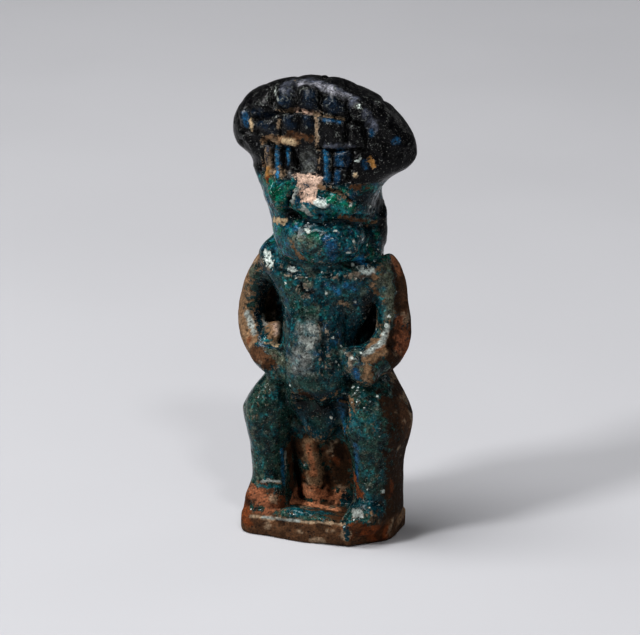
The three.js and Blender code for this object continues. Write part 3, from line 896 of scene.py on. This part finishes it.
def wear(surface, generator):
    """Makes the surface uneven, most of all on the face, and pits it all over."""
    points = surface.points
    height = uneven(noise, points, *BROAD_UNEVEN) + uneven(rough_noise, points, *ROUGH_UNEVEN)
    height += uneven(noise, points, *FINE_UNEVEN)
    face = between(FACE_LOW, CROWN_FOOT, FACE_BORDER, points[:, 2])
    height += face * uneven(rough_noise, points, *FACE_UNEVEN)
    tree = KDTree(len(points))
    for index, point in enumerate(points):
        tree.insert(point, index)
    tree.balance()
    pitted = np.zeros(len(points))
    for centre in generator.integers(0, len(points), PIT_COUNT):
        radius = PIT_SMALLEST + (PIT_LARGEST - PIT_SMALLEST) * generator.random() ** PIT_RARITY
        for _, index, away in tree.find_range(points[centre], radius):
            depth = 1.0 - (away / radius) ** 2
            pitted[index] = max(pitted[index], depth)
            height[index] -= PIT_DEPTH * radius * depth
    surface.points = points + surface.normals * height[:, None]
    return pitted


def squeeze(values, limit):
    """Squeezes the outermost band of the values evenly, so that none passes the limit."""
    start = limit - BOX_BAND
    reach = max(values.max(), limit)
    beyond = np.maximum(values - start, 0)
    return np.minimum(values, start) + beyond * BOX_BAND / (reach - start)


def keep_in_box(surface):
    """Flattens the underside and keeps every point inside the solid's box."""
    low = np.array(CAD_BOX[0]) * MM_PER_M
    high = np.array(CAD_BOX[1]) * MM_PER_M
    under = surface.points[:, 2] < low[2] + UNDERSIDE
    surface.points[under, 2] = low[2]
    for axis in range(3):
        values = squeeze(surface.points[:, axis], high[axis])
        surface.points[:, axis] = -squeeze(-values, -low[axis])
    surface.refresh()


def cavities(surface):
    """How far each point lies below (positive) or above its smoothed surroundings, in millimetres."""
    around = surface.soften(surface.points, CAVITY_ROUNDS)
    return np.sum((around - surface.points) * surface.normals, axis=1)


class Coat:
    """The glaze on each point, the body under it, and how much of the body shows, laid on in layers."""

    def __init__(self, count):
        self.glaze = np.tile(linear(GLAZES["deep teal"]), (count, 1))
        self.body = np.tile(linear(BODIES["tan"][0]), (count, 1))
        self.gloss = np.full(count, BODIES["tan"][1])
        self.bare = np.full(count, FIRST_BARE)
        self.polish = np.zeros(count)

    def lay(self, name, strength):
        """A colour from either list. A glaze covers the body, and a body colour shows through the glaze."""
        if name in GLAZES:
            self.glaze += (linear(GLAZES[name]) - self.glaze) * strength[:, None]
            self.bare *= 1.0 - GLAZE_COVER * strength
            return
        colour, gloss = BODIES[name]
        wide = np.clip(BODY_SPREAD * strength, 0.0, 1.0)
        self.body += (linear(colour) - self.body) * wide[:, None]
        self.gloss += (gloss - self.gloss) * wide
        self.bare += (1.0 - self.bare) * strength

    def bed(self, name, share):
        """A body colour under the glaze that doesn't make the glaze any thinner."""
        self.body += (linear(BODIES[name][0]) - self.body) * share[:, None]

    def darken(self, share):
        """Takes light off both colours where the share is high."""
        self.glaze *= 1.0 - share[:, None]
        self.body *= 1.0 - share[:, None]


def patches(surface, coat, zone, layers):
    """Noisy patches of colour over a zone. A layer is colour, size in millimetres, start and strength."""
    for seed, (name, size, start, strength) in enumerate(layers):
        field = rough_noise(surface.points, size, PATCH_SEED + SEED_STEP * seed + len(name))
        coat.lay(name, zone * strength * ramp(start, start + PATCH_BORDER, field))


def zone_shares(surface):
    """How far each point belongs to each zone of the figure. The borders are more ragged on the back."""
    points = surface.points
    broad = rough_noise(points, *BROAD_NOISE)
    fine = rough_noise(points, *FINE_NOISE)
    behind = ramp(*FACING_BACK, surface.normals[:, 1])
    height = points[:, 2] + FRONT_RAGGED * broad + behind * (BACK_RAGGED * broad + BACK_GRAIN * fine)
    low_height = points[:, 2] + BASE_GRAIN * fine + BASE_RAGGED * behind * broad
    crown = above(CROWN_FOOT, HEAD_EDGE, height)
    head = above(SHOULDER_HEIGHT, HEAD_EDGE, height) - crown
    legs = above(HIP_HEIGHT, -HIP_EDGE, height)
    base = above(BASE_TOP, -BASE_EDGE, low_height)
    torso = 1.0 - crown - head - legs
    arms = torso * above(ARM_SIDE, ARM_EDGE, np.abs(points[:, 0]) + ARM_GRAIN * fine)
    arms *= 1.0 - ARM_SPARED * behind
    # Right-facing sides: worn body that is also darkened as painted shade.
    sides = (torso + legs) * ramp(*FACING_SIDE, surface.normals[:, 0] + SIDE_RAGGED * broad)
    sides *= above(OUTER_SIDE, OUTER_EDGE, points[:, 0])
    worn_back = behind * (1.0 - CROWN_SPARED * crown) * ramp(*BACK_WEAR, broad + BACK_GRAIN * fine)
    return {
        "crown": crown,
        "head": head,
        "torso": torso,
        "legs": legs,
        "arms": arms,
        "sides": sides,
        "base": base,
        "worn back": worn_back,
    }


def zones(coat, shares):
    """The broad colours: black crown, teal head and body, mossy legs, tan arms, umber right sides with
    painted shade, brown base.
    """
    for name, zone, strength in GLAZE_COATS:
        coat.lay(name, strength * shares[zone])
    coat.bed("frost", shares["crown"])
    coat.bed("frost", PALE_BED * (shares["head"] + shares["torso"] - shares["arms"]))
    for name, zone, strength in BARE_COATS:
        coat.lay(name, strength * shares[zone])
    for zone, polish in POLISH.items():
        coat.polish += polish * shares[zone]


def mottle(surface, coat, shares):
    """The fine mixture of colours in each zone where glaze is left, and on the bare body."""
    bare = ramp(*BARE_RANGE, coat.bare)
    light = ramp(*LIGHT_RANGE, coat.glaze.mean(axis=1))
    for zone, layers in MOTTLE.items():
        share = bare if zone == "bare" else shares[zone] * (1.0 - bare) * light
        patches(surface, coat, share, layers)


def shade_and_weather(surface, coat, pitted, shares):
    """Painted shade and dirt in the hollows and pits, and bare body on worn edges."""
    hollow = cavities(surface)
    fine = rough_noise(surface.points, *EDGE_NOISE)
    # The hollows and pits are made darker: painted shade and dirt.
    coat.darken(HOLLOW_SHADE_AND_DIRT * ramp(*DARK_HOLLOW_DEPTH, hollow))
    coat.darken(PIT_SHADE_AND_DIRT * pitted)
    worn = ramp(*EDGE_RISE, EDGE_RAGGED * fine - hollow)
    strength = EDGE_WEAR - CROWN_KEEPS * shares["crown"] - HEAD_KEEPS * shares["head"]
    coat.bare += (1.0 - coat.bare) * worn * strength


def paint(surface, view, coat, strokes, least, edge_noise):
    """Strokes of colour, broken up by noise down to the least strength given."""
    broken = least + (1.0 - least) * ramp(*BROKEN_RANGE, rough_noise(surface.points, *BROKEN_NOISE))
    edge = BRUSH_RAGGED * edge_noise
    for _, name, radius, *lines in strokes:
        for places in lines:
            coat.lay(name, broken * surface.brush(view, places, radius, PAINT_SOFTNESS, edge))


def store(mesh, coat):
    """Writes the coat to the mesh as attributes that the material reads."""
    polish = mesh.attributes.new("polish", "FLOAT", "POINT")
    polish.data.foreach_set("value", coat.polish.astype(np.float32))
    layers = (("glaze", coat.glaze, coat.bare), ("body", coat.body, coat.gloss))
    for name, colour, last in layers:
        attribute = mesh.attributes.new(name, "FLOAT_COLOR", "POINT")
        values = np.column_stack((colour, last)).astype(np.float32)
        attribute.data.foreach_set("color", values.ravel())


class Nodes:
    """Short calls for material nodes. An input is fed a number, a colour or another node's output."""

    def __init__(self, name):
        self.material = bpy.data.materials.new(name)
        self.material.use_nodes = True
        self.tree = self.material.node_tree
        self.shader = self.tree.nodes["Principled BSDF"]

    def feed(self, node, inputs):
        """Sets fixed inputs of a node, and joins outputs of other nodes to the rest."""
        for key, value in inputs.items():
            if isinstance(value, bpy.types.NodeSocket):
                self.tree.links.new(value, node.inputs[key])
            else:
                node.inputs[key].default_value = value

    def add(self, kind, inputs, **settings):
        """The outputs of a new node of this kind."""
        node = self.tree.nodes.new("ShaderNode" + kind)
        for name, value in settings.items():
            setattr(node, name, value)
        self.feed(node, inputs)
        return node.outputs

    def attribute(self, name):
        """What the mesh holds under this name."""
        return self.add("Attribute", {}, attribute_name=name)

    def noise(self, place, scale, detail, roughness):
        """Values of a noise texture."""
        inputs = {"Vector": place, "Scale": scale, "Detail": detail, "Roughness": roughness}
        return self.add("TexNoise", inputs)["Fac"]

    def spread(self, value, taken, given=UNIT):
        """A value taken from one range to another and held inside it."""
        ends = dict(zip(("From Min", "From Max", "To Min", "To Max"), taken + given))
        return self.add("MapRange", {"Value": value, **ends}, interpolation_type="SMOOTHSTEP")["Result"]

    def maths(self, operation, first, second):
        """Two values put together."""
        return self.add("Math", {0: first, 1: second}, operation=operation)["Value"]

    def mix(self, factor, *colours):
        """A colour between two others."""
        inputs = {"Factor": factor, **dict(zip(MIX_COLOURS, colours))}
        return self.add("Mix", inputs, data_type="RGBA")[MIXED_COLOUR]

    def blend(self, factor, *values):
        """A value between two others."""
        inputs = {"Factor": factor, **dict(zip(MIX_VALUES, values))}
        return self.add("Mix", inputs, data_type="FLOAT")[MIXED_VALUE]

    def scaled(self, vector, amount):
        """A colour or a place multiplied by a value."""
        return self.add("VectorMath", {0: vector, "Scale": amount}, operation="SCALE")["Vector"]

    def millimetres(self):
        """Coordinates on the piece, in millimetres."""
        return self.scaled(self.add("TexCoord", {})["Object"], MM_PER_M)


def faience():
    """Pitted glaze over a sandy body. The attributes give both colours and how much of the body shows."""
    nodes = Nodes("worn_faience")
    place = nodes.millimetres()
    glaze = nodes.attribute("glaze")
    body = nodes.attribute("body")
    grain = nodes.noise(place, *GRAIN)
    cloud = nodes.noise(place, *CLOUD)
    pit = nodes.add("TexVoronoi", {"Vector": place, "Scale": PIT_SCALE})
    pit_round = nodes.spread(pit["Distance"], PIT_EDGE)
    pit_mask = nodes.maths("MULTIPLY", pit_round, nodes.spread(pit["Color"], PIT_CHOICE))

    chance = nodes.spread(nodes.noise(place, *BREAK_UP), MIDDLE, SHOW_CHANCE)
    shows = nodes.spread(nodes.maths("SUBTRACT", glaze["Alpha"], chance), SHOW_BORDER)

    thickness = nodes.spread(cloud, MIDDLE, CLOUD_THICKNESS)
    thickness = nodes.maths("MULTIPLY", thickness, nodes.spread(grain, MIDDLE, GRAIN_THICKNESS))
    speck = nodes.spread(nodes.noise(place, *SPECK), SPECK_RANGE)
    speck_mask = nodes.maths("MULTIPLY", speck, SPECK_STRENGTH)
    glaze_colour = nodes.mix(speck_mask, nodes.scaled(glaze["Color"], thickness), SPECK_COLOUR)
    sandiness = nodes.spread(cloud, MIDDLE, CLOUD_SAND)
    sandiness = nodes.maths("MULTIPLY", sandiness, nodes.spread(grain, SAND_MIDDLE, GRAIN_SAND))
    colour = nodes.mix(shows, glaze_colour, nodes.scaled(body["Color"], sandiness))
    colour = nodes.mix(nodes.maths("MULTIPLY", pit_mask, PIT_STRENGTH), colour, PIT_COLOUR)

    dull = nodes.spread(nodes.attribute("polish")["Fac"], UNIT, GLAZE_ROUGHNESS)
    glaze_rough = nodes.maths("ADD", dull, nodes.spread(cloud, CLOUD_MIDDLE, CLOUD_DULL))
    body_rough = nodes.spread(body["Alpha"], UNIT, BODY_ROUGHNESS)

    glaze_height = nodes.maths("MULTIPLY", nodes.noise(place, *WAVE), WAVE_HEIGHT)
    height = nodes.blend(shows, glaze_height, nodes.maths("SUBTRACT", grain, GRAIN_DEPTH))
    height = nodes.maths("SUBTRACT", height, nodes.maths("MULTIPLY", shows, GLAZE_HEIGHT))
    height = nodes.maths("SUBTRACT", height, pit_mask)
    bump = {"Strength": BUMP_STRENGTH, "Distance": BUMP_METRES, "Height": height}
    nodes.feed(nodes.shader, {
        "Base Color": colour,
        "Roughness": nodes.blend(shows, glaze_rough, body_rough),
        "Specular IOR Level": SPECULAR,
        "Normal": nodes.add("Bump", bump)["Normal"],
    })
    return nodes.material


def floor_material():
    """A pale matt studio floor with a faint mottle."""
    nodes = Nodes("pale_floor")
    shade = nodes.noise(nodes.millimetres(), *FLOOR_MOTTLE)
    nodes.feed(nodes.shader, {
        "Base Color": nodes.mix(shade, FLOOR_COLOUR, FLOOR_SHADE),
        "Roughness": nodes.spread(shade, MIDDLE, FLOOR_ROUGHNESS),
    })
    return nodes.material


def add_floor():
    """A round floor that curves up into a backdrop on all sides."""
    shape = bmesh.new()
    flat = FLOOR_RADIUS - FLOOR_RIM
    outline = [(radius, 0.0) for radius in (*FLOOR_RINGS, flat)]
    for step in range(1, RIM_STEPS + 1):
        angle = step / RIM_STEPS * math.pi / 2
        outline.append((flat + FLOOR_RIM * math.sin(angle), FLOOR_RIM * (1.0 - math.cos(angle))))
    angles = [turn / FLOOR_TURNS * 2 * math.pi for turn in range(FLOOR_TURNS)]
    directions = [(math.cos(angle), math.sin(angle)) for angle in angles]
    rings = [
        [shape.verts.new((radius * x, radius * y, height)) for x, y in directions]
        for radius, height in outline
    ]
    shape.faces.new(rings[0])
    for inner, outer in zip(rings, rings[1:]):
        for turn in range(FLOOR_TURNS):
            after = (turn + 1) % FLOOR_TURNS
            shape.faces.new((inner[turn], outer[turn], outer[after], inner[after]))
    mesh = bpy.data.meshes.new("floor")
    shape.to_mesh(mesh)
    shape.free()
    mesh.shade_smooth()
    mesh.materials.append(floor_material())
    floor = bpy.data.objects.new("floor", mesh)
    bpy.context.scene.collection.objects.link(floor)


def add_lights():
    """Soft square lights aimed at the figure, and a dim even world."""
    for name, place, size, power in LIGHTS:
        data = bpy.data.lights.new(name, "AREA")
        data.size = size
        data.energy = power
        light = bpy.data.objects.new(name, data)
        light.location = place
        light.rotation_euler = (LIGHT_AIM - Vector(place)).to_track_quat("-Z", "Y").to_euler()
        bpy.context.scene.collection.objects.link(light)
    world = bpy.data.worlds.new("studio")
    world.use_nodes = True
    background = world.node_tree.nodes["Background"]
    background.inputs["Color"].default_value = WORLD_GREY
    background.inputs["Strength"].default_value = WORLD_STRENGTH
    bpy.context.scene.world = world


def worn_figure(view):
    """The amulet as one dense, worn and painted mesh."""
    generator = np.random.default_rng(SEED)
    surface = Surface(dense_mesh(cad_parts[NODE]))
    round_off(surface)
    edge_noise = rough_noise(surface.points, *BRUSH_NOISE)
    carve(surface, view, edge_noise)
    pitted = wear(surface, generator)
    keep_in_box(surface)
    coat = Coat(len(surface.points))
    shares = zone_shares(surface)
    zones(coat, shares)
    paint(surface, view, coat, BROAD_PAINT, BROAD_LEAST, edge_noise)
    mottle(surface, coat, shares)
    shade_and_weather(surface, coat, pitted, shares)
    paint(surface, view, coat, FINE_PAINT, FINE_LEAST, edge_noise)
    # Painted highlights: small white glints laid over the glaze.
    glints = ("glints", "pale", GLINT_RADIUS, *([pixel] for pixel in GLINTS))
    paint(surface, view, coat, [glints], BROAD_LEAST, edge_noise)
    mesh = surface.mesh
    store(mesh, coat)
    mesh.transform(Matrix.Scale(1.0 / MM_PER_M, 4))
    mesh.shade_smooth()
    mesh.materials.clear()
    mesh.materials.append(faience())
    piece = bpy.data.objects.new("worn_amulet", mesh)
    bpy.context.scene.collection.objects.link(piece)
    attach(piece, "root")
    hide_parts(NODE)


photo_view = PhotoView()
worn_figure(photo_view)
add_floor()
add_lights()
photo_view.add_camera()
bpy.context.scene.view_settings.view_transform = "Standard"
bpy.context.scene.view_settings.look = "Medium High Contrast"
